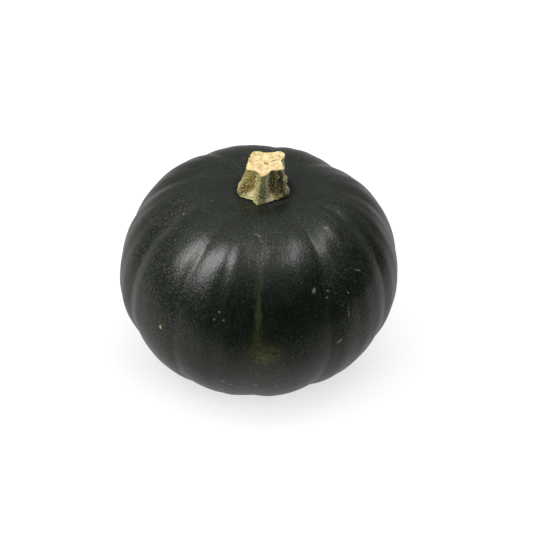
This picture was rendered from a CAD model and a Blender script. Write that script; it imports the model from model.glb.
"""Mini pumpkin: the looks of a small dark green squash and its cut stem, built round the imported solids.

Lengths are in metres, +Z is up and the front faces -Y. Azimuths are in degrees from the front,
positive towards +X, and latitudes are in degrees above the widest ring.
"""

import logging
import math
from collections.abc import Callable
from dataclasses import dataclass, field
from enum import Enum
from typing import Any

import bpy
import numpy as np
from mathutils import Matrix, Vector, noise


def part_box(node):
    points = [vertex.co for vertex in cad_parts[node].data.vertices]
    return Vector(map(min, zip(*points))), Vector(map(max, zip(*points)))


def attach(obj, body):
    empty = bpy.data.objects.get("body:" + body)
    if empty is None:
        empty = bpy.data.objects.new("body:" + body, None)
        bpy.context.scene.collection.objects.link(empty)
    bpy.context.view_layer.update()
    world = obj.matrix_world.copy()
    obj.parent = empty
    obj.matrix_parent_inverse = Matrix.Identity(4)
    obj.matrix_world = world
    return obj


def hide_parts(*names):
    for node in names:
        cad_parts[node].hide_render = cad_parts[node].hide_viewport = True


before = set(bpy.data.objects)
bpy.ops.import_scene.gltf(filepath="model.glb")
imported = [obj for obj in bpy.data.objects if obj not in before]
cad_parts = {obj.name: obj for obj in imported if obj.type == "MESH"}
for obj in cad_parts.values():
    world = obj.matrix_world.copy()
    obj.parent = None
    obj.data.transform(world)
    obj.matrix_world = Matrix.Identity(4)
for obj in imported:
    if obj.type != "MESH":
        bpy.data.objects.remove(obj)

Array = np.ndarray
Colour = tuple[float, float, float]
Masks = dict[str, Array]
Pair = tuple[float, float]

LOG = logging.getLogger("mini_pumpkin")
MM = 0.001


def smooth_step(low: float, high: float, value: Array) -> Array:
    """Eases from 0 below low to 1 above high.

    Args:
        low: where the rise starts.
        high: where it ends.
        value: the values to read it at.

    Returns:
        The eased share for each value.
    """
    share = np.clip((value - low) / (high - low), 0.0, 1.0)
    return share * share * (3 - 2 * share)


def angle_between(azimuth: Array, other: float) -> Array:
    """The turn from other to azimuth, in degrees from -180 to 180."""
    return (azimuth - other + 180) % 360 - 180


def round_to_xyz(radius: Array, azimuth: Array, height: Array) -> Array:
    """Points at a radius, an azimuth and a height about the Z axis, one row each."""
    angle = np.radians(azimuth)
    return np.stack([radius * np.sin(angle), -radius * np.cos(angle), height], axis=-1)


def section_at(turn: Array, count: int) -> tuple[Array, Array]:
    """Which of a ring's sections each share of the turn is in, and its share across that section.

    Args:
        turn: shares of the whole turn.
        count: how many sections there are.

    Returns:
        Each section's number, and the shares across.
    """
    place = turn % 1.0 * count
    section = np.floor(place + 1e-9)
    return section.astype(int) % count, np.clip(place - section, 0.0, 1.0)


def linked(name: str, data: bpy.types.ID) -> bpy.types.Object:
    """Makes an object of its data and links it to the scene.

    Args:
        name: the object's name.
        data: its mesh, light or camera.

    Returns:
        The new object.
    """
    made = bpy.data.objects.new(name, data)
    bpy.context.scene.collection.objects.link(made)
    return made


@dataclass(frozen=True)
class Lumps:
    """One layer of smooth lumps: their width, what they add, their seed and what they add low down.

    Along is 1 for round lumps, and 0 for lumps that are the same at every height.
    """

    size: float
    amount: float
    seed: float
    extra_low: float = 0.0
    along: float = 1.0

    def at(self, points: Array, low: Array | float = 0.0) -> Array:
        """Reads the layer.

        Args:
            points: one row for each point, in metres.
            low: each point's share of being low down.

        Returns:
            What the layer adds at each point.
        """
        places = points * (1, 1, self.along) / self.size + self.seed
        heights = np.array([noise.noise(place) for place in places.tolist()])
        return heights * (self.amount + self.extra_low * low)


@dataclass(frozen=True)
class Spot:
    """A soft oval round the axis, with half sizes in degrees and in the measure that rise is in."""

    azimuth: float
    rise: float
    half_turn: float
    half_rise: float
    weight: float = 1.0

    def cover(self, azimuth: Array, rise: Array) -> Array:
        """The spot's weight in its middle, which falls off outwards."""
        turned = angle_between(azimuth, self.azimuth) / self.half_turn
        return self.weight * np.exp(-(turned**2) - ((rise - self.rise) / self.half_rise) ** 2)


def moved_sphere(
    name: str, columns: int, rings: int, place: Callable[[Array, Array], tuple[Array, Masks]]
) -> bpy.types.Object:
    """Makes a closed mesh from a sphere whose points are all moved.

    Args:
        name: the piece's name.
        columns: how many segments run round it.
        rings: how many run from its bottom to its top.
        place: takes each point's share of the turn and share of the way up, and returns the
            points and the named masks that its finish reads.

    Returns:
        The new object, smooth and linked to the scene.
    """
    column, ring = np.meshgrid(np.arange(columns), np.arange(1, rings))
    turn = np.append(column.ravel() / columns, (0.0, 0.0))
    climb = np.append(ring.ravel() / rings, (0.0, 1.0))
    points, masks = place(turn, climb)
    here = np.arange(columns)
    following = (here + 1) % columns
    starts = (np.arange(rings - 2) * columns)[:, None]
    above = starts + columns
    sides = np.stack([starts + here, starts + following, above + following, above + here], 2)
    last, bottom, top = (rings - 2) * columns, len(points) - 2, len(points) - 1
    caps = [(bottom, b, a) for a, b in zip(here.tolist(), following.tolist())]
    caps += [(top, last + a, last + b) for a, b in zip(here.tolist(), following.tolist())]
    mesh = bpy.data.meshes.new(name)
    mesh.from_pydata(points.tolist(), [], sides.reshape(-1, 4).tolist() + caps)
    for mask_name, values in masks.items():
        kind, slot = ("FLOAT", "value") if values.ndim == 1 else ("FLOAT_VECTOR", "vector")
        layer = mesh.attributes.new(mask_name, kind, "POINT")
        layer.data.foreach_set(slot, values.ravel())
    mesh.shade_smooth()
    mesh.update()
    return linked(name, mesh)


class Link:
    """One value of a finish's node tree, which the usual signs add, take away and multiply."""

    def __init__(self, surface: "Surface", socket: bpy.types.NodeSocket) -> None:
        """Wraps a socket of surface's node tree."""
        self.surface = surface
        self.socket = socket

    def _math(self, operation: str, first: Any, second: Any) -> "Link":
        """Adds a Math node that joins two values."""
        return self.surface.node("ShaderNodeMath", {"operation": operation}, {0: first, 1: second})

    def __add__(self, other: Any) -> "Link":
        """This value plus other."""
        return self._math("ADD", self, other)

    def __radd__(self, other: Any) -> "Link":
        """Other plus this value."""
        return self._math("ADD", other, self)

    def __sub__(self, other: Any) -> "Link":
        """This value less other."""
        return self._math("SUBTRACT", self, other)

    def __rsub__(self, other: Any) -> "Link":
        """Other less this value."""
        return self._math("SUBTRACT", other, self)

    def __mul__(self, other: Any) -> "Link":
        """This value times other."""
        return self._math("MULTIPLY", self, other)

    def __rmul__(self, other: Any) -> "Link":
        """Other times this value."""
        return self._math("MULTIPLY", other, self)

    def beside(self, output: str) -> "Link":
        """Another output of the node that this value comes from."""
        return Link(self.surface, self.socket.node.outputs[output])


class Surface:
    """The node tree of one material or world, and the few ways in which its nodes are made."""

    def __init__(self, tree: bpy.types.NodeTree) -> None:
        """Empties the tree, so that only the finish's own nodes are in it."""
        self.tree = tree
        tree.nodes.clear()

    @classmethod
    def on(cls, mesh: bpy.types.Mesh, name: str) -> "Surface":
        """Starts a new material on a mesh.

        Args:
            mesh: what wears it.
            name: the material's name.

        Returns:
            The material's empty tree.
        """
        material = bpy.data.materials.new(name)
        material.use_nodes = True
        mesh.materials.append(material)
        return cls(material.node_tree)

    def node(
        self, kind: str, settings: dict[str, Any] | None = None, values: dict[Any, Any] | None = None,
        output: str | int = 0,
    ) -> Link | None:
        """Adds a node.

        Args:
            kind: the node's type.
            settings: what is set on the node first.
            values: each input's value or link, by name or number.
            output: the output that the link stands for.

        Returns:
            A link to that output, or nothing where the node has none.
        """
        made = self.tree.nodes.new(kind)
        for name, setting in (settings or {}).items():
            setattr(made, name, setting)
        for name, value in (values or {}).items():
            if isinstance(value, Link):
                self.tree.links.new(value.socket, made.inputs[name])
            elif isinstance(value, tuple) and made.inputs[name].type == "RGBA":
                made.inputs[name].default_value = (*value, 1.0)
            else:
                made.inputs[name].default_value = value
        return Link(self, made.outputs[output]) if made.outputs else None

    def principled(self, values: dict[str, Any]) -> None:
        """Ends a material with its shader."""
        shader = self.node("ShaderNodeBsdfPrincipled", {}, values)
        self.node("ShaderNodeOutputMaterial", {}, {"Surface": shader})

    def bump(self, height: Link) -> Link:
        """The normal of a skin with a height in metres."""
        return self.node("ShaderNodeBump", {}, {"Strength": 1.0, "Distance": 1.0, "Height": height})

    def vector(self, operation: str, first: Any, second: Any) -> Link:
        """Joins two vectors."""
        return self.node("ShaderNodeVectorMath", {"operation": operation}, {0: first, 1: second})

    def mask(self, name: str) -> Link:
        """A mask that the mesh carries."""
        return self.node("ShaderNodeAttribute", {"attribute_name": name}, output="Fac")

    def place(self, name: str) -> Link:
        """A place or colour that the mesh carries."""
        return self.node("ShaderNodeAttribute", {"attribute_name": name}, output="Vector")

    def spread(self, value: Link, low: float | Link, high: float | Link) -> Link:
        """Eases from 0 at low to 1 at high, or the other way round where low is the larger."""
        return self.node(
            "ShaderNodeMapRange",
            {"interpolation_type": "SMOOTHSTEP"},
            {"Value": value, "From Min": low, "From Max": high},
        )

    def mix(self, share: Any, first: Any, second: Any) -> Link:
        """Mixes two colours by a share."""
        return self.node("ShaderNodeMix", {"data_type": "RGBA"}, {0: share, 6: first, 7: second}, 2)

    def larger(self, first: Link, second: Any) -> Link:
        """The larger of two values."""
        return self.node("ShaderNodeMath", {"operation": "MAXIMUM"}, {0: first, 1: second})

    def stretched(self, at: Link, across: float, along: float) -> Link:
        """Places divided by one size across the skin and another along Z."""
        return self.vector("MULTIPLY", at, (1 / across, 1 / across, 1 / along))

    def grain(self, at: Link, size: float = 1.0, detail: float = 2.0, rough: float = 0.5) -> Link:
        """Cloudy noise from 0 to 1 with features of a size."""
        values = {"Vector": at, "Scale": 1 / size, "Detail": detail, "Roughness": rough}
        return self.node("ShaderNodeTexNoise", {}, values)

    def cells(self, at: Link, size: float) -> Link:
        """The distance to the nearest of scattered points, in cell sizes; its Color is random."""
        return self.node("ShaderNodeTexVoronoi", {}, {"Vector": at, "Scale": 1 / size})

    def part_of(self, colour: Link, channel: str) -> Link:
        """The red, green or blue of a colour."""
        return self.node("ShaderNodeSeparateColor", {}, {"Color": colour}, channel)


class MarkKind(Enum):
    """A mark's look: the share of its reach that is fully marked, and how strongly it covers."""

    SPECK = (0.10, 0.60)
    SCUFF = (0.00, 0.46)
    SCRATCH = (0.10, 0.42)


@dataclass(frozen=True)
class Mark:
    """One blemish on the rind, with its half sizes and its tilt from the meridian in degrees."""

    kind: MarkKind
    azimuth: float
    latitude: float
    half_length: float
    half_width: float
    tilt: float = 0.0

    @classmethod
    def rows(cls, kind: MarkKind, *rows: tuple[float, ...]) -> tuple["Mark", ...]:
        """Marks of one kind from rows of azimuth, latitude, half sizes in millimetres and tilt."""
        return tuple(cls(kind, row[0], row[1], row[2] * MM, row[3] * MM, *row[4:]) for row in rows)


@dataclass(frozen=True)
class PlacedMark:
    """A mark's place, turn and size on the built rind."""

    kind: MarkKind
    point: Vector
    turn: tuple[float, float, float]
    size: tuple[float, float, float]


@dataclass(frozen=True)
class Groove:
    """One groove between two lobes: its depth, the skin's reach there and the swell of the next lobe.

    Its stripe is how strongly it is coloured, and its lean turns its upper part, in degrees.
    """

    azimuth: float
    depth: float
    reach: float
    swell: float
    stripe: float
    lean: float = 0.0


@dataclass(frozen=True)
class FineRib:
    """A narrow rib of the skin, or a narrow valley where its rise is negative; angles are in degrees."""

    azimuth: float
    rise: float
    half_width: float


@dataclass(frozen=True)
class RindFinish:
    """The waxy, nearly black green skin with its pale grooves, dust, specks and marks."""

    deep: Colour = (0.0003, 0.0020, 0.0005)
    light: Colour = (0.0015, 0.0060, 0.0021)
    shoulder: Colour = (0.0034, 0.0080, 0.0040)
    stripe: Colour = (0.018, 0.025, 0.010)
    speck: Colour = (0.21, 0.21, 0.17)
    dust: Colour = (0.053, 0.053, 0.036)
    brown: Colour = (0.030, 0.026, 0.019)
    ground_patch: Colour = (0.042, 0.044, 0.005)
    tan: Colour = (0.55, 0.36, 0.14)
    scar: Colour = (0.30, 0.24, 0.14)
    scar_dark: Colour = (0.10, 0.075, 0.04)
    roughness: float = 0.28
    specular: float = 0.42
    cloud_size: float = 11 * MM
    fleck_size: float = 1.0 * MM
    dusty_size: float = 26 * MM
    blotch_size: float = 2.6 * MM
    streak_sizes: Pair = (1.1 * MM, 7 * MM)
    mottle_sizes: Pair = (2.2 * MM, 5 * MM)
    speck_layers: tuple[tuple[float, float, float], ...] = (
        (4.6 * MM, 0.07, 0.50), (2.3 * MM, 0.09, 0.55), (1.3 * MM, 0.15, 0.30)
    )
    wander_size: float = 0.9 * MM
    wander: float = 1.7 * MM
    pit_size: float = 1.1 * MM
    pit_depth: float = 0.09 * MM
    grain_size: float = 0.45 * MM
    grain_depth: float = 0.016 * MM
    streak_depth: float = 0.02 * MM
    speck_rise: float = 0.03 * MM

    def dress(self, piece: bpy.types.Object, marks: list[PlacedMark], tan_spot: PlacedMark) -> None:
        """Gives the fruit its rind.

        Args:
            piece: the fruit, whose mesh carries stripe, patch, worn, scar, crown, seat and skin.
            marks: the pale marks.
            tan_spot: the one tan spot.
        """
        s = Surface.on(piece.data, "waxy_rind")
        at = s.node("ShaderNodeTexCoord", output="Object")
        skin = s.place("skin")
        clouds = s.grain(at, self.cloud_size, 4.0, 0.6)
        streaks = s.grain(s.stretched(skin, *self.streak_sizes), 1.0, 3.0, 0.6)
        fleck = s.grain(at, self.fleck_size, 3.0, 0.70)
        dusty = s.spread(s.grain(at, self.dusty_size, 3.0), 0.42, 0.66)
        greens = clouds * 0.45 + streaks * 0.3 + fleck * 0.25
        base = s.mix(s.spread(greens, 0.38, 0.64), self.deep, self.light)
        crown = s.mask("crown")
        base = s.mix(crown * s.spread(clouds * 0.4 + fleck * 0.6, 0.42, 0.60), base, self.shoulder)
        seat = s.mask("seat")
        base = s.mix(seat * 0.9, base, self.deep)
        stripe = s.spread(s.mask("stripe") + (streaks - 0.5) * 2.2 + (clouds - 0.5) * 0.9, 0.15, 1.15)
        base = s.mix(stripe * 0.8, base, self.stripe)
        blotches = s.spread(s.grain(at, self.blotch_size, 4.0, 0.7), 0.38, 0.62)
        base = s.mix(s.mask("patch") * (0.20 + blotches * 0.65), base, self.ground_patch)
        worn = s.mask("worn")
        mottle = s.grain(s.stretched(skin, *self.mottle_sizes), 1.0, 4.0, 0.7)
        base = s.mix(s.spread(mottle, 0.46, 0.70) * worn * 0.22, base, self.brown)
        haze = s.spread(fleck, 0.50, 0.64) * (0.05 + worn * 0.32 + dusty * worn * 0.60)
        base = s.mix(haze * 0.56 + worn * 0.045, base, self.dust)
        pale = s.larger(self._specks(s, at, dusty), self._marks(s, at, marks))
        base = s.mix(pale, base, self.speck)
        base = s.mix(self._mark(s, at, tan_spot), base, self.tan)
        scar = s.mask("scar")
        base = s.mix(scar, base, s.mix(s.spread(fleck, 0.35, 0.65), self.scar, self.scar_dark))
        rough = self.roughness + (clouds - 0.5) * 0.10 + haze * 0.12 + pale * 0.25 + scar * 0.4
        rough = rough + crown * 0.12 + seat * 0.45
        pits = s.grain(s.stretched(skin, self.pit_size, 1.3 * self.pit_size), 1.0, 1.0, 0.4)
        height = pits * self.pit_depth + s.grain(at, self.grain_size, 1.0) * self.grain_depth
        height = height + streaks * self.streak_depth + pale * self.speck_rise
        values = {"Base Color": base, "Roughness": rough, "Specular IOR Level": self.specular}
        s.principled({**values, "Normal": s.bump(height)})

    def _specks(self, s: Surface, at: Link, dusty: Link) -> Link:
        """Fine pale specks, a few large and many small, thicker where the skin is dusty.

        Args:
            s: the rind's tree.
            at: the place on the fruit.
            dusty: how dusty it is.

        Returns:
            The specks' cover.
        """
        total = None
        for size, reach, share in self.speck_layers:
            cell = s.cells(at, size)
            chance = s.part_of(cell.beside("Color"), "Red")
            scale = s.part_of(cell.beside("Color"), "Green")
            there = s.spread(chance, share - 0.02, share) * (0.35 + dusty * 0.65)
            radius = 0.25 * reach + scale * reach
            dot = s.spread(cell, radius, radius * 0.4) * there * (0.12 + scale * scale * 0.55)
            total = dot if total is None else s.larger(total, dot)
        return total

    def _marks(self, s: Surface, at: Link, marks: list[PlacedMark]) -> Link:
        """All the pale marks, with edges that wander a little.

        Args:
            s: the rind's tree.
            at: the place on the fruit.
            marks: the marks.

        Returns:
            The marks' cover.
        """
        wander = s.vector("SUBTRACT", s.grain(at, self.wander_size).beside("Color"), (0.5, 0.5, 0.5))
        values = {0: wander, "Scale": self.wander}
        rough_at = s.vector("ADD", at, s.node("ShaderNodeVectorMath", {"operation": "SCALE"}, values))
        total = None
        for mark in marks:
            found = self._mark(s, rough_at, mark)
            total = found if total is None else s.larger(total, found)
        return total

    def _mark(self, s: Surface, at: Link, mark: PlacedMark) -> Link:
        """One mark's cover, from its middle to its edge.

        Args:
            s: the rind's tree.
            at: the place on the fruit.
            mark: the mark.

        Returns:
            Its cover.
        """
        values = {"Vector": at, "Location": mark.point, "Rotation": mark.turn, "Scale": mark.size}
        local = s.node("ShaderNodeMapping", {"vector_type": "TEXTURE"}, values)
        reach = s.node("ShaderNodeVectorMath", {"operation": "LENGTH"}, {0: local}, "Value")
        core, strength = mark.kind.value
        return s.spread(reach, 1.0, core) * strength


@dataclass
class Fruit:
    """The squash: a turned form with lobes, grooves, fine ribs, a dimple and a blossom scar."""

    finish: RindFinish = field(default_factory=RindFinish)
    columns: int = 480
    rings: int = 196
    radius: float = 0.060
    crown_rise: float = 0.846 * 0.060
    crown_fullness: float = 2.18
    base_drop: float = 0.851 * 0.060
    base_fullness: float = 1.88
    base_limit: float = 0.82 * 0.060
    base_limit_power: float = 8.0
    rest_drop: float = 0.0455
    axis_lean: float = 0.045
    dimple_depth: float = 7.8 * MM
    dimple_radius: float = 24.9 * MM
    groove_half_width: float = 5.2
    groove_power: float = 1.6
    lobe_fade: Pair = (0.22, 0.62)
    groove_fade: Pair = (0.20, 0.98)
    scar_radius: float = 5.0 * MM
    scar_recess: float = 1.6 * MM
    scar_slope: Pair = (4.2 * MM, 11.5 * MM)
    scar_button: float = 0.7 * MM
    scar_rim: float = 0.35 * MM
    scar_rim_width: float = 0.5 * MM
    seat_edge: Pair = (11.5 * MM, 14.5 * MM)
    ripple: Lumps = Lumps(30 * MM, 0.7, 7.3)
    unevenness: tuple[Lumps, ...] = (
        Lumps(24 * MM, 0.40 * MM, 2.1), Lumps(9 * MM, 0.10 * MM, 4.7), Lumps(3.2 * MM, 0.030 * MM, 9.2)
    )
    ground_spots: tuple[Spot, ...] = (Spot(3.0, 1.5, 5.5, 5.0), Spot(-1.0, 9.0, 2.0, 7.0, 0.45))
    clean_spot: Spot = Spot(10.0, 20.0, 37.0, 22.0)
    grooves: tuple[Groove, ...] = tuple(
        Groove(azimuth, depth * MM, reach * MM, swell * MM, *looks)
        for azimuth, depth, reach, swell, *looks in (
            (-145, 0.4, 1.1, 1.4, 0.6), (-106, 0.8, 0.7, 0.5, 0.7), (-67, 1.0, 0.1, 0.5, 0.8),
            (-36.5, 0.45, 0.4, 0.6, 0.35, 2.2), (-1, 0.20, 0.0, 0.9, 1.0),
            (30, 0.42, 0.1, 0.7, 0.35, 2.8), (63, 0.75, 0.8, 0.4, 0.6), (92, 0.5, 0.3, 0.5, 0.7),
            (136, 0.5, -1.3, 0.8, 0.7), (172, 0.4, 0.3, 0.7, 0.6),
        )
    )
    fine_ribs: tuple[FineRib, ...] = tuple(
        FineRib(azimuth, rise * MM, half_width)
        for azimuth, rise, half_width in (
            (-170, -0.26, 3.4), (-157, -0.22, 3.2), (-132, -0.28, 3.6), (-119, -0.26, 3.4),
            (-93, -0.26, 3.4), (-81, -0.26, 3.4), (-56, -0.18, 3.4), (-49, -0.06, 2.8),
            (-40.5, 0.08, 2.6), (-32, 0.05, 2.2), (-18.6, -0.22, 2.4), (-13.5, 0.12, 2.6),
            (-6.5, -0.18, 3.4), (12, -0.06, 3.0), (18.5, 0.10, 3.2), (38, 0.12, 2.6),
            (44.5, -0.22, 3.2), (53, -0.22, 3.2), (74, -0.26, 3.4), (83, -0.26, 3.2),
            (107, -0.24, 3.4), (121, -0.28, 3.6), (149, -0.24, 3.2), (160, -0.26, 3.4),
            (-178, -0.22, 3.4),
        )
    )
    marks: tuple[Mark, ...] = (
        *Mark.rows(
            MarkKind.SPECK,
            (-68, 55.0, 0.6, 0.5), (65.5, 56.8, 0.6, 0.55), (63.8, -1.5, 0.7, 0.5),
            (40, 23.2, 0.7, 0.5), (-17.2, 21.5, 0.6, 0.5), (-18.8, 17.5, 0.6, 0.5),
            (-15, 18.2, 0.55, 0.45), (30.8, 27.5, 0.6, 0.45, 20), (29.8, 24.8, 0.6, 0.4, -30),
            (-54.8, 44.2, 0.5, 0.45), (-52, 36.2, 0.5, 0.4),
        ),
        *Mark.rows(
            MarkKind.SCUFF,
            (23.8, 30, 1.9, 1.2, 30), (44.5, 55, 1.7, 0.9, -35), (34, 1.5, 2.3, 1.1, 60),
            (-14.5, -18.5, 1.9, 0.9, 60), (-11.5, -21.8, 1.6, 0.9, 60), (-8.8, -25.8, 1.3, 1.0),
            (-0.5, -22.2, 1.7, 0.9, 70), (9, -23.2, 1.5, 1.2),
        ),
        *Mark.rows(
            MarkKind.SCRATCH,
            (38.4, 14, 3.4, 0.32), (48.1, 30.3, 2.7, 0.30, -62), (-4, 60, 2.6, 0.30, -55),
            (-1, 57, 2.0, 0.28, -50),
        ),
    )
    tan_spot: Mark = Mark(MarkKind.SPECK, -43, 4, 1.5 * MM, 1.0 * MM)
    middle: Vector = field(default_factory=Vector)

    def build(self) -> bpy.types.Object:
        """Builds and dresses the fruit where its solid is.

        Returns:
            The fruit's object.
        """
        low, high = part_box("fruit")
        piece = moved_sphere("squash_skin", self.columns, self.rings, self._place)
        corners = np.array([corner[:] for corner in piece.bound_box])
        own_middle = (corners.min(axis=0) + corners.max(axis=0)) / 2
        x, y = (low.x + high.x) / 2 - own_middle[0], (low.y + high.y) / 2 - own_middle[1]
        self.middle = Vector((x, y, low.z + self.rest_drop))
        piece.data.transform(Matrix.Translation(self.middle))
        marks = [self._placed(mark) for mark in self.marks]
        self.finish.dress(piece, marks, self._placed(self.tan_spot))
        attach(piece, "root")
        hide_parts("fruit")
        return piece

    def _turned(self, latitude: Array) -> tuple[Array, Array]:
        """The plain turned form: each latitude's distance from the axis and height, in metres.

        Args:
            latitude: latitudes in radians.

        Returns:
            The distances and the heights.
        """
        rise, reach = np.abs(np.sin(latitude)), np.maximum(0.0, np.cos(latitude))
        upper = self.radius * reach ** (2 / self.crown_fullness)
        lower = self.radius * reach ** (2 / self.base_fullness)
        widest = math.exp(-((self.radius / self.dimple_radius) ** 2))
        sunk = self.dimple_depth * (np.exp(-((upper / self.dimple_radius) ** 2)) - widest)
        drop = np.maximum(self.base_drop * rise ** (2 / self.base_fullness), 1e-9)
        power = -self.base_limit_power
        drop = (drop**power + self.base_limit**power) ** (1 / power)
        crown = latitude >= 0
        height = np.where(crown, self.crown_rise * rise ** (2 / self.crown_fullness) - sunk, -drop)
        return np.where(crown, upper, lower), height

    def _outward(self, latitude: Array) -> tuple[Array, Array]:
        """The turned form's outward direction at each latitude, as radial and upward parts.

        Args:
            latitude: latitudes in radians.

        Returns:
            The radial and the upward parts.
        """
        step = 1e-4
        inside = np.clip(latitude, step - math.pi / 2, math.pi / 2 - step)
        below, above = self._turned(inside - step), self._turned(inside + step)
        outward, upward = above[1] - below[1], below[0] - above[0]
        length = np.hypot(outward, upward)
        return outward / length, upward / length

    def _lobe(self, turn: Array) -> tuple[Array, Array, Array, Array]:
        """Each share of the turn's lobe, azimuth, share across the lobe, and the lobe's width.

        Args:
            turn: shares of the whole turn.

        Returns:
            Lobe numbers, azimuths, shares across and widths in degrees.
        """
        lobe, across = section_at(turn, len(self.grooves))
        starts = np.array([groove.azimuth for groove in self.grooves])
        width = (np.roll(starts, -1) - starts) % 360
        return lobe, starts[lobe] + across * width[lobe], across, width[lobe]

    def _relief(self, lobe: Array, azimuth: Array, across: Array, width: Array, share: Array) -> Array:
        """How far lobes, grooves and fine ribs move the skin; all of them fade at the poles.

        Args:
            lobe: each point's lobe.
            azimuth: its azimuth.
            across: its share across the lobe.
            width: the lobe's width in degrees.
            share: its share of the widest radius.

        Returns:
            The moves outwards, in metres.
        """
        table = np.array([(groove.depth, groove.reach, groove.swell) for groove in self.grooves])
        here, following = table[lobe], np.roll(table, -1, axis=0)[lobe]
        lobes = here[:, 1] + (following[:, 1] - here[:, 1]) * smooth_step(0, 1, across)
        lobes += here[:, 2] * np.sin(math.pi * across)
        cuts = np.zeros_like(lobes)
        for depth, angle in ((here[:, 0], across * width), (following[:, 0], (1 - across) * width)):
            cuts += depth * np.exp(-((angle / self.groove_half_width) ** self.groove_power))
        for rib in self.fine_ribs:
            cuts -= rib.rise * np.exp(-((angle_between(azimuth, rib.azimuth) / rib.half_width) ** 2))
        return lobes * smooth_step(*self.lobe_fade, share) - cuts * smooth_step(*self.groove_fade, share)

    def _place(self, turn: Array, climb: Array) -> tuple[Array, Masks]:
        """Places the skin's points about the middle of the widest ring.

        Args:
            turn: each point's share of the whole turn.
            climb: its share of the way from the bottom to the top.

        Returns:
            The points, and the masks that the rind reads.
        """
        latitude = (climb - 0.5) * math.pi
        lobe, azimuth, across, width = self._lobe(turn)
        radius, height = self._turned(latitude)
        outward, upward = self._outward(latitude)
        plain = round_to_xyz(radius, azimuth, height)
        azimuth = azimuth + self.ripple.at(plain) * smooth_step(0.2, 0.6, radius / self.radius)
        leans = np.array([groove.lean for groove in self.grooves])
        lean = leans[lobe] + (np.roll(leans, -1) - leans)[lobe] * across
        azimuth += lean * smooth_step(20, 50, np.degrees(latitude))
        relief = self._relief(lobe, azimuth, across, width, radius / self.radius)
        relief += sum(layer.at(plain) for layer in self.unevenness)
        reach = radius + outward * relief
        height = self._settled(height + upward * relief, reach)
        points = round_to_xyz(reach, azimuth, height)
        points[:, 0] += self.axis_lean * height
        return points, self._masks(lobe, azimuth, across, width, latitude, reach)

    def _settled(self, height: Array, reach: Array) -> Array:
        """Keeps the base on its resting level, with the blossom end sunk inside the contact ring.

        Args:
            height: each point's height.
            reach: its distance from the axis.

        Returns:
            The heights to use.
        """
        recess = self.scar_recess * (1 - smooth_step(*self.scar_slope, reach))
        button = self.scar_button * (1 - smooth_step(0.6, 1.0, reach / self.scar_radius))
        rim = self.scar_rim * np.exp(-(((reach - self.scar_radius) / self.scar_rim_width) ** 2))
        floor = -self.rest_drop + recess - button + rim
        base = height < -0.5 * self.rest_drop
        return np.where(base, np.maximum(height, floor), height)

    def _masks(
        self, lobe: Array, azimuth: Array, across: Array, width: Array, latitude: Array, reach: Array
    ) -> Masks:
        """The rind's masks: stripe, patch, worn, scar, crown and seat, and the place on the skin.

        Args:
            lobe: each point's lobe.
            azimuth: its azimuth.
            across: its share across the lobe.
            width: the lobe's width in degrees.
            latitude: its latitude in radians.
            reach: its distance from the axis.

        Returns:
            The masks by name.
        """
        stripes = np.array([groove.stripe for groove in self.grooves])
        per_degree = np.radians(1.0) * reach
        degrees = np.degrees(latitude)
        half_width = (1.2 + 1.0 * smooth_step(12, 35, degrees)) * MM
        stripe = np.zeros_like(across)
        for strength, share in ((stripes[lobe], across), (np.roll(stripes, -1)[lobe], 1 - across)):
            stripe += strength * np.exp(-((share * width * per_degree / half_width) ** 2))
        stripe *= smooth_step(10 * MM, 22 * MM, reach) * (1 - 0.6 * smooth_step(40, 60, degrees))
        stripe *= 1 - 0.7 * (1 - smooth_step(5, 25, degrees))
        crown = smooth_step(45.0, 75.0, degrees)
        return {
            "stripe": stripe,
            "patch": sum(spot.cover(azimuth, degrees) for spot in self.ground_spots),
            "worn": (1 - self.clean_spot.cover(azimuth, degrees)) * (1 - 0.6 * crown),
            "scar": (1 - smooth_step(0.85, 1.15, reach / self.scar_radius)) * (latitude < 0),
            "crown": crown,
            "seat": (1 - smooth_step(*self.seat_edge, reach)) * (latitude > 0),
            "skin": round_to_xyz(np.full_like(reach, self.radius), azimuth, latitude * self.radius),
        }

    def _turn_at(self, azimuth: float) -> float:
        """The share of the turn that has an azimuth.

        Args:
            azimuth: the azimuth.

        Returns:
            The share.
        """
        starts = np.array([groove.azimuth for groove in self.grooves])
        gone = (azimuth - starts) % 360
        lobe = int(gone.argmin())
        width = (np.roll(starts, -1) - starts)[lobe] % 360
        return (lobe + gone[lobe] / width) / len(starts)

    def _placed(self, mark: Mark) -> PlacedMark:
        """Finds a mark's place on the built skin, and the turn that lays it along the skin.

        Args:
            mark: the mark by azimuth and latitude.

        Returns:
            The mark with its point, turn and size in the scene.
        """
        turn, climb = self._turn_at(mark.azimuth), mark.latitude / 180 + 0.5
        step = 0.002
        turns = np.array([turn, turn + step, turn])
        climbs = np.array([climb, climb, climb + step])
        points, _ = self._place(turns, climbs)
        middle, beside, above = (Vector(point) for point in points)
        up = (above - middle).normalized()
        normal = (beside - middle).cross(up).normalized()
        side = up.cross(normal)
        tilt = math.radians(mark.tilt)
        along = up * math.cos(tilt) + side * math.sin(tilt)
        across = along.cross(normal)
        turn_matrix = Matrix((along, across, along.cross(across))).transposed()
        size = (mark.half_length, mark.half_width, max(mark.half_length, 1.5 * MM))
        return PlacedMark(mark.kind, middle + self.middle, tuple(turn_matrix.to_euler()), size)


class CorkTone(Enum):
    """The colours of the stem's flank."""

    PALE = (0.55, 0.49, 0.27)
    CREAM = (0.28, 0.25, 0.10)
    GREY = (0.16, 0.15, 0.10)
    OLIVE = (0.20, 0.165, 0.040)
    BROWN = (0.15, 0.080, 0.016)
    UMBER = (0.034, 0.029, 0.008)
    MOSS = (0.058, 0.075, 0.026)
    DARK = (0.009, 0.012, 0.005)


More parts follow.
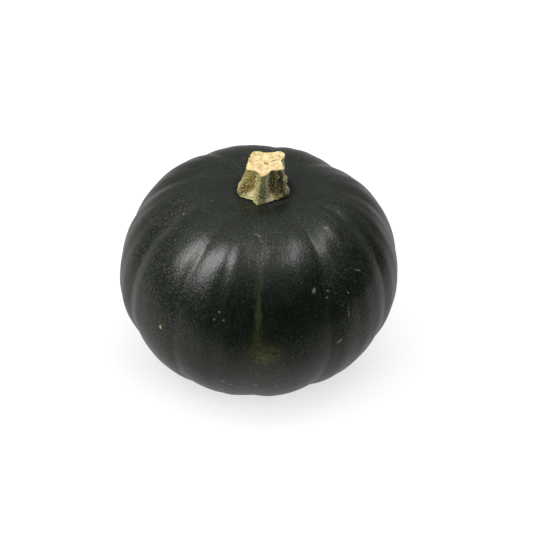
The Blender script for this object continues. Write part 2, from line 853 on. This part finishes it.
@dataclass(frozen=True)
class CorkPatch:
    """A patch of one tone on the flank, with its half sizes in degrees and in shares of the height."""

    tone: CorkTone
    azimuth: float
    rise: float
    half_turn: float
    half_rise: float
    weight: float = 1.0

    @classmethod
    def rows(cls, tone: CorkTone, *rows: tuple[float, ...]) -> tuple["CorkPatch", ...]:
        """Patches of one tone from rows of azimuth, rise, half sizes and weight."""
        return tuple(cls(tone, *row) for row in rows)


@dataclass(frozen=True)
class Ridge:
    """One ridge of the stem: its azimuth, its reach at the cut and how hollow the next flute is."""

    azimuth: float
    reach: float
    hollow: float


@dataclass(frozen=True)
class Pore:
    """A pit in the cut face: its place, its half sizes and its tilt in degrees."""

    x: float
    y: float
    half_length: float
    half_width: float
    tilt: float = 0.0

    def cover(self, points: Array) -> Array:
        """The share of each point that the pit takes up.

        Args:
            points: points of the cut, one row each.

        Returns:
            A share for each.
        """
        dx, dy, angle = points[:, 0] - self.x, points[:, 1] - self.y, math.radians(self.tilt)
        along = (dx * math.cos(angle) + dy * math.sin(angle)) / self.half_length
        across = (dy * math.cos(angle) - dx * math.sin(angle)) / self.half_width
        return 1 - smooth_step(0.6, 1.3, np.hypot(along, across))


@dataclass(frozen=True)
class CorkFinish:
    """The stem's dry cork and the pale, rough face of its cut."""

    cut: Colour = (0.66, 0.53, 0.29)
    cut_dark: Colour = (0.44, 0.325, 0.145)
    cut_edge: Colour = (0.52, 0.34, 0.13)
    pore: Colour = (0.080, 0.042, 0.014)
    crumb: Colour = (0.56, 0.48, 0.23)
    roughness: float = 0.86
    specular: float = 0.25
    crumb_size: float = 0.8 * MM
    crumb_depth: float = 0.30 * MM
    grit_size: float = 0.42 * MM
    grit_depth: float = 0.10 * MM
    fibre_sizes: Pair = (0.45 * MM, 2.0 * MM)
    fibre_depth: float = 0.10 * MM
    blotch_size: float = 2.0 * MM
    saw_marks_per_metre: tuple[float, float, float] = (500, 2000, 900)
    saw_depth: float = 0.02 * MM

    def dress(self, piece: bpy.types.Object) -> None:
        """Gives the stem its cork.

        Args:
            piece: the stem, whose mesh carries tone, cut, edge and pore.
        """
        s = Surface.on(piece.data, "dry_cork")
        at = s.node("ShaderNodeTexCoord", output="Object")
        crumbs = s.grain(at, self.crumb_size, 3.0, 0.7)
        grit = s.grain(at, self.grit_size, 2.0, 0.6)
        fibres = s.grain(s.stretched(at, *self.fibre_sizes), 1.0, 2.0, 0.6)
        blotch = s.grain(at, self.blotch_size, 3.0, 0.6)
        gaps = s.spread(crumbs * 0.55 + grit * 0.45, 0.47, 0.40)
        tips = s.spread(crumbs * 0.35 + grit * 0.65, 0.53, 0.60)
        tone = s.place("tone")
        flank = s.mix(gaps * 0.88, tone, CorkTone.DARK.value)
        bare = s.spread(s.part_of(tone, "Red"), 0.02, 0.055)
        flank = s.mix(tips * bare * 0.62, flank, self.crumb)
        flank = s.mix(s.spread(fibres, 0.56, 0.75) * 0.35, flank, CorkTone.UMBER.value)
        saw = s.grain(s.vector("MULTIPLY", at, self.saw_marks_per_metre))
        wood = blotch * 0.5 + grit * 0.35 + saw * 0.15
        face = s.mix(s.spread(wood, 0.42, 0.58), self.cut_dark, self.cut)
        face = s.mix(s.mask("edge"), face, self.cut_edge)
        face = s.mix(s.mask("pore"), face, self.pore)
        base = s.mix(s.mask("cut"), flank, face)
        height = crumbs * self.crumb_depth + grit * self.grit_depth + fibres * self.fibre_depth
        height = height + saw * self.saw_depth
        values = {"Base Color": base, "Roughness": self.roughness, "Specular IOR Level": self.specular}
        s.principled({**values, "Normal": s.bump(height)})


@dataclass
class Stem:
    """The cut stem: five ridges over a knobbly foot, hollow flutes and a torn, pale cut."""

    foot: Vector
    finish: CorkFinish = field(default_factory=CorkFinish)
    columns: int = 420
    rings: int = 200
    height: float = 13.1 * MM
    foot_radius: float = 11.5 * MM
    foot_rise: float = 0.2
    foot_fluting: float = 0.45
    flute_power: float = 1.25
    flute_rise: float = 0.4
    sunk: float = 1.0 * MM
    cut_shift: float = 1.0 * MM
    cut_dish: float = 0.5 * MM
    pore_depth: float = 0.7 * MM
    back_rise: float = 0.6 * MM
    front_drop: float = 0.2 * MM
    foot_tuck: float = 1.6 * MM
    crumbs: tuple[Lumps, ...] = (
        Lumps(2.6 * MM, 0.30 * MM, 1.4, 0.50 * MM),
        Lumps(1.1 * MM, 0.24 * MM, 5.8, 0.16 * MM, 0.35),
        Lumps(0.7 * MM, 0.14 * MM, 3.3),
    )
    torn_edge: Lumps = Lumps(2.2 * MM, 0.45 * MM, 6.6, along=0)
    cut_steps: tuple[Lumps, ...] = (
        Lumps(3.0 * MM, 0.22 * MM, 2.2, along=0),
        Lumps(0.8 * MM, 0.07 * MM, 8.1, along=0),
    )
    tone_wander: Lumps = Lumps(1.6 * MM, 5.0, 4.4)
    tone_lift: Lumps = Lumps(1.8 * MM, 0.08, 8.4)
    pores: tuple[Pore, ...] = (
        Pore(0.3 * MM, 0.9 * MM, 1.2 * MM, 0.55 * MM, -35),
        Pore(3.5 * MM, 2.7 * MM, 1.6 * MM, 0.38 * MM, 16),
        Pore(-6.6 * MM, 1.6 * MM, 0.35 * MM, 0.3 * MM),
        Pore(5.9 * MM, 5.6 * MM, 0.35 * MM, 0.3 * MM),
    )
    underside_share: float = 0.06
    cut_share: float = 0.28
    ridges: tuple[Ridge, ...] = (
        Ridge(-148, 9.5 * MM, 0.19),
        Ridge(-60, 9.0 * MM, 0.31),
        Ridge(-10, 9.2 * MM, 0.37),
        Ridge(62, 8.4 * MM, 0.28),
        Ridge(133, 10.8 * MM, 0.27),
    )
    knobs: tuple[Spot, ...] = tuple(
        Spot(*oval, bulge * MM)
        for *oval, bulge in (
            (-76, 0.38, 11, 0.14, 0.9), (-72, 0.12, 12, 0.12, 0.5), (-9, 0.06, 20, 0.12, 0.9),
            (111, 0.98, 9, 0.28, -1.1), (74, 0.30, 10, 0.12, 0.3), (30, 0.05, 12, 0.08, 0.4),
            (122, 0.12, 16, 0.15, 0.7), (-150, 0.12, 18, 0.15, 0.8), (-110, 0.08, 12, 0.10, 0.5),
            (170, 0.10, 12, 0.12, 0.5),
        )
    )
    front_patches: tuple[CorkPatch, ...] = (
        *CorkPatch.rows(
            CorkTone.PALE,
            (-86, 0.38, 11, 0.12, 2.4), (-52, 0.06, 10, 0.08, 1.1), (-34, 0.20, 10, 0.14, 1.7),
            (24, 0.10, 11, 0.09, 1.1),
        ),
        *CorkPatch.rows(
            CorkTone.CREAM,
            (-66, 0.65, 5, 0.35, 1.4), (-22, 0.75, 7, 0.40, 1.6), (-24, 0.45, 8, 0.25, 1.5),
            (-18, 0.08, 7, 0.10, 1.3),
        ),
        *CorkPatch.rows(
            CorkTone.GREY,
            (7, 0.65, 5, 0.35, 1.6), (11, 0.24, 7, 0.12, 1.4), (65, 0.62, 7, 0.32, 2.1),
        ),
        *CorkPatch.rows(CorkTone.OLIVE, (-53, 0.75, 8, 0.22, 1.5), (42, 0.06, 9, 0.07, 1.0)),
        *CorkPatch.rows(
            CorkTone.BROWN,
            (-43, 0.44, 6, 0.20, 1.4), (47, 0.86, 2.5, 0.12, 1.3), (38, 0.40, 2.5, 0.13, 2.0),
        ),
        *CorkPatch.rows(
            CorkTone.UMBER,
            (-54, 0.97, 9, 0.06, 1.3), (33, 0.70, 9, 0.35, 2.4), (36, 0.40, 7, 0.18, 2.2),
            (60, 0.20, 8, 0.16, 1.2),
        ),
        *CorkPatch.rows(
            CorkTone.MOSS,
            (-57, 0.45, 4, 0.28, 0.9), (-66, 0.17, 10, 0.09, 1.3), (-6, 0.60, 5.5, 0.40, 2.2),
            (-4, 0.20, 5.0, 0.30, 2.0),
        ),
        CorkPatch(CorkTone.DARK, 54, 0.70, 3.5, 0.32, 2.2),
    )

    def build(self) -> bpy.types.Object:
        """Builds and dresses the stem where its solid is.

        Returns:
            The stem's object.
        """
        piece = moved_sphere("cork_stem", self.columns, self.rings, self._place)
        piece.data.transform(Matrix.Translation(self.foot))
        self.finish.dress(piece)
        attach(piece, "root")
        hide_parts("stem")
        return piece

    def _flute(self, turn: Array) -> tuple[Array, Array, Array]:
        """Each share of the turn's azimuth, the ridges' reach there and how hollow the flute is.

        Args:
            turn: shares of the whole turn.

        Returns:
            Azimuths, reaches and hollows.
        """
        flute, across = section_at(turn, len(self.ridges))
        table = np.array([(ridge.azimuth, ridge.reach, ridge.hollow) for ridge in self.ridges])
        here, following = table[flute], np.roll(table, -1, axis=0)[flute]
        azimuth = here[:, 0] + across * ((following[:, 0] - here[:, 0]) % 360)
        reach = here[:, 1] + (following[:, 1] - here[:, 1]) * smooth_step(0, 1, across)
        return azimuth, reach, here[:, 2] * np.sin(math.pi * across) ** self.flute_power

    def _flank(self, azimuth: Array, reach: Array, hollow: Array, rise: Array) -> Array:
        """The flank's radius with its knobs, fibres and lumps.

        Args:
            azimuth: each point's azimuth.
            reach: the ridges' reach there.
            hollow: how hollow the flute is.
            rise: its share of the height.

        Returns:
            The radii.
        """
        opening = smooth_step(0, self.flute_rise, rise)
        hollow = hollow * (self.foot_fluting + (1 - self.foot_fluting) * opening)
        radius = self.foot_radius + (reach - self.foot_radius) * smooth_step(self.foot_rise, 1, rise)
        radius = radius * (1 - hollow) + sum(knob.cover(azimuth, rise) for knob in self.knobs)
        at = round_to_xyz(radius, azimuth, rise * self.height)
        low = 1 - smooth_step(0.15, 0.7, rise)
        radius = radius + sum(layer.at(at, low) for layer in self.crumbs)
        return radius - self.foot_tuck * (1 - smooth_step(0.0, 0.10, rise))

    def _place(self, turn: Array, climb: Array) -> tuple[Array, Masks]:
        """Places the stem's points about the middle of its foot.

        Args:
            turn: each point's share of the whole turn.
            climb: its share of the way along the underside, up the flank and in over the cut.

        Returns:
            The points, and the masks that the cork reads.
        """
        top = 1 - self.cut_share
        rise = np.clip((climb - self.underside_share) / (top - self.underside_share), 0.0, 1.0)
        inward = np.minimum(climb / self.underside_share, (1 - climb) / self.cut_share).clip(0.0, 1.0)
        azimuth, reach, hollow = self._flute(turn)
        radius = self._flank(azimuth, reach, hollow, rise) * inward
        height = rise * (self.height + self.sunk) - self.sunk
        points = round_to_xyz(radius, azimuth, height)
        on_cut = climb > top
        points[:, 2] += np.where(on_cut, self._cut_height(points, inward), 0.0)
        near_rim = smooth_step(0.86, 1.0, rise) * ~on_cut
        points[:, 2] += self._torn(points) * np.maximum(near_rim, on_cut * inward**3)
        points[:, 0] += self.cut_shift * rise
        return points, self._masks(points, azimuth, rise, inward, on_cut)

    def _torn(self, points: Array) -> Array:
        """How far the torn rim of the cut stands above or below its plane.

        Args:
            points: points of the rim, one row each.

        Returns:
            The moves upwards.
        """
        front = np.exp(-(((points[:, 0] + 1.5 * MM) / (3.0 * MM)) ** 2))
        front = front * smooth_step(4 * MM, 9 * MM, -points[:, 1])
        back = smooth_step(0.0, 8 * MM, points[:, 1])
        return self.torn_edge.at(points) + self.back_rise * back - self.front_drop * front

    def _cut_height(self, points: Array, inward: Array) -> Array:
        """The cut face's dish, steps and pores."""
        steps = sum(layer.at(points) for layer in self.cut_steps)
        return steps - self.cut_dish * (1 - inward**2) - self.pore_depth * self._pores(points)

    def _pores(self, points: Array) -> Array:
        """The two dark pits and the small dots of the cut face."""
        return np.max([pore.cover(points) for pore in self.pores], axis=0)

    def _masks(self, points: Array, azimuth: Array, rise: Array, inward: Array, on_cut: Array) -> Masks:
        """The cork's masks: tone, cut, edge and pore.

        Args:
            points: the stem's points.
            azimuth: their azimuths.
            rise: their shares of the height.
            inward: 1 at the rim and 0 in the middle.
            on_cut: whether they are on the cut.

        Returns:
            The masks by name.
        """
        wander, lift = self.tone_wander.at(points), self.tone_lift.at(points)
        weights = np.zeros(len(points))
        colour = np.zeros((len(points), 3))
        for patch in self._patches():
            turned = (angle_between(azimuth, patch.azimuth) + wander) / patch.half_turn
            raised = (rise + lift - patch.rise) / patch.half_rise
            share = (patch.weight * np.exp(-0.5 * (turned**2 + raised**2))) ** 2
            weights += share
            colour += share[:, None] * np.array(patch.tone.value)
        tone = (colour + 1e-4 * np.array(CorkTone.GREY.value)) / (weights + 1e-4)[:, None]
        front = smooth_step(5 * MM, 9 * MM, -points[:, 1])
        edge = on_cut * np.clip(front * smooth_step(0.45, 0.9, inward) * 0.8, 0, 1)
        pore = self._pores(points - np.array([self.cut_shift, 0, 0])) * on_cut
        cut = np.maximum(on_cut * 1.0, smooth_step(0.955, 0.985, rise))
        return {"tone": tone, "cut": cut, "edge": edge, "pore": pore}

    def _patches(self) -> list[CorkPatch]:
        """The front's patches, and the same kind of bands on the ridges that the front doesn't show.

        Returns:
            All the patches.
        """
        patches = list(self.front_patches)
        for azimuth in (self.ridges[0].azimuth, self.ridges[4].azimuth, -100):
            patches += [
                CorkPatch(CorkTone.CREAM, azimuth - 12, 0.55, 9, 0.5, 1.4),
                CorkPatch(CorkTone.MOSS, azimuth + 4, 0.50, 6, 0.5, 1.5),
                CorkPatch(CorkTone.GREY, azimuth + 16, 0.50, 7, 0.4, 1.3),
                CorkPatch(CorkTone.OLIVE, azimuth + 34, 0.65, 10, 0.35),
                CorkPatch(CorkTone.BROWN, azimuth + 40, 0.40, 9, 0.2),
                CorkPatch(CorkTone.CREAM, azimuth, 0.08, 14, 0.1),
            ]
        return patches


@dataclass(frozen=True)
class Softbox:
    """A soft studio lamp: where it stands from the fruit's middle, its sides and its power in watts."""

    name: str
    direction: tuple[float, float, float]
    distance: float
    width: float
    height: float
    power: float


@dataclass
class Studio:
    """The white floor, the soft lamps, the sky and the camera."""

    aim: Vector
    elevation: float = 37.0
    distance: float = 0.9
    lens: float = 138.9
    sensor: float = 36.0
    shift_right: float = 3.33 * MM
    shift_up: float = 2.41 * MM
    floor_low: Pair = (-0.36, -0.145)
    floor_high: Pair = (0.36, 0.50)
    floor_colour: Colour = (0.12, 0.12, 0.12)
    floor_roughness: float = 0.9
    floor_specular: float = 0.1
    contact_shade: float = 0.50
    shade_in_front: float = 0.27
    shade_edge: Pair = (0.0, -0.05)
    contact_reach: float = 90 * MM
    glow_in_front: float = 0.04
    glow_beside: float = 0.37
    glow_edge: Pair = (-0.135, -0.075)
    glow_lean: float = 0.30
    sky_zenith: float = 0.68
    sky_back: float = 0.32
    sky_left: float = 0.14
    sky_low: float = 0.04
    dome: float = 1.0
    softboxes: tuple[Softbox, ...] = (
        Softbox("left_softbox", (-0.625, -0.225, 0.748), 0.95, 0.34, 0.70, 6.3),
        Softbox("left_tube", (-0.625, -0.225, 0.748), 0.90, 0.08, 0.30, 0.45),
        Softbox("right_softbox", (0.385, -0.13, 0.92), 1.05, 0.68, 0.26, 3.05),
        Softbox("right_tube", (0.385, -0.13, 0.92), 1.00, 0.40, 0.07, 0.20),
    )

    def build(self) -> None:
        """Sets up the floor, the lamps, the sky and the camera."""
        self._floor()
        for box in self.softboxes:
            self._lamp(box)
        self._sky()
        self._camera()
        bpy.context.scene.view_settings.view_transform = "Standard"

    def _floor(self) -> None:
        """Lays the white floor; gloss sees its glow, faint in front and brighter beside the fruit."""
        (x0, y0), (x1, y1) = self.floor_low, self.floor_high
        mesh = bpy.data.meshes.new("white_floor")
        mesh.from_pydata([(x0, y0, 0), (x1, y0, 0), (x1, y1, 0), (x0, y1, 0)], [], [(0, 1, 2, 3)])
        floor = linked("white_floor", mesh)
        s = Surface.on(mesh, "white_board")
        at = s.node("ShaderNodeTexCoord", output="Object")
        back = s.node("ShaderNodeSeparateXYZ", {}, {0: at}, "Y")
        beside = s.spread(back - back.beside("X") * self.glow_lean, *self.glow_edge)
        reach = {"Distance": self.contact_reach}
        clear = s.node("ShaderNodeAmbientOcclusion", {"samples": 8}, reach, "AO")
        in_front = s.spread(back, *self.shade_edge)
        shade = in_front * (self.shade_in_front - self.contact_shade) + self.contact_shade
        glow = 1 - (1 - clear) * shade
        gloss = beside * (self.glow_beside - self.glow_in_front) + self.glow_in_front
        reflected = s.node("ShaderNodeLightPath", output="Is Glossy Ray")
        s.principled(
            {
                "Base Color": self.floor_colour,
                "Roughness": self.floor_roughness,
                "Specular IOR Level": self.floor_specular,
                "Emission Color": glow + reflected * (gloss - glow),
                "Emission Strength": 1.0,
            }
        )

    def _lamp(self, box: Softbox) -> None:
        """Hangs one softbox, turned to the fruit.

        Args:
            box: the softbox.
        """
        light = bpy.data.lights.new(box.name, "AREA")
        light.shape = "RECTANGLE"
        light.size = box.width
        light.size_y = box.height
        light.energy = box.power
        lamp = linked(box.name, light)
        direction = Vector(box.direction).normalized()
        lamp.location = self.aim + direction * box.distance
        lamp.rotation_euler = direction.to_track_quat("Z", "Y").to_euler()

    def _sky(self) -> None:
        """Makes an even white sky, which gloss sees bright above, fainter behind and at the left."""
        world = bpy.data.worlds.new("studio_walls")
        world.use_nodes = True
        s = Surface(world.node_tree)
        direction = s.node("ShaderNodeTexCoord", output="Generated")
        back = s.node("ShaderNodeSeparateXYZ", {}, {0: direction}, "Y")
        level = s.spread(back.beside("Z"), 0.46, 1.0) * self.sky_zenith + self.sky_low
        level = level + s.spread(back, 0.0, 0.9) * (self.sky_back - self.sky_low)
        level = level + s.spread(back.beside("X"), -0.3, -0.9) * self.sky_left
        reflected = s.node("ShaderNodeLightPath", output="Is Glossy Ray")
        level = reflected * (level - self.dome) + self.dome
        shader = s.node("ShaderNodeBackground", {}, {"Color": (1.0, 1.0, 1.0), "Strength": level})
        s.node("ShaderNodeOutputWorld", {}, {"Surface": shader})
        bpy.context.scene.world = world

    def _camera(self) -> None:
        """Stands the camera at the photograph's viewing angle."""
        camera = bpy.data.cameras.new("view")
        camera.lens = self.lens
        camera.sensor_width = self.sensor
        view = linked("view", camera)
        angle = math.radians(self.elevation)
        back = Vector((0.0, -math.cos(angle), math.sin(angle)))
        up = Vector((0.0, math.sin(angle), math.cos(angle)))
        right = Vector((self.shift_right, 0.0, 0.0))
        view.location = self.aim + back * self.distance + right + up * self.shift_up
        view.rotation_euler = (math.radians(90 - self.elevation), 0.0, 0.0)
        bpy.context.scene.camera = view


def report(piece: bpy.types.Object) -> None:
    """Logs a piece's name, size and number of faces."""
    sides = ", ".join(f"{side / MM:.1f}" for side in piece.dimensions)
    LOG.info("%s: %s mm, %d faces", piece.name, sides, len(piece.data.polygons))


def main() -> None:
    """Builds the fruit, the stem and the studio in order."""
    logging.basicConfig(level=logging.INFO, format="%(name)s: %(message)s")
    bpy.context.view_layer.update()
    fruit = Fruit()
    report(fruit.build())
    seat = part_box("stem")[0].z
    axis_x = fruit.middle.x + fruit.axis_lean * (seat - fruit.middle.z)
    stem = Stem(Vector((axis_x, fruit.middle.y, seat)))
    report(stem.build())
    Studio(fruit.middle).build()
    LOG.info("studio: floor, %d lamps, sky and camera", len(Studio.softboxes))


if __name__ == "__main__":
    main()
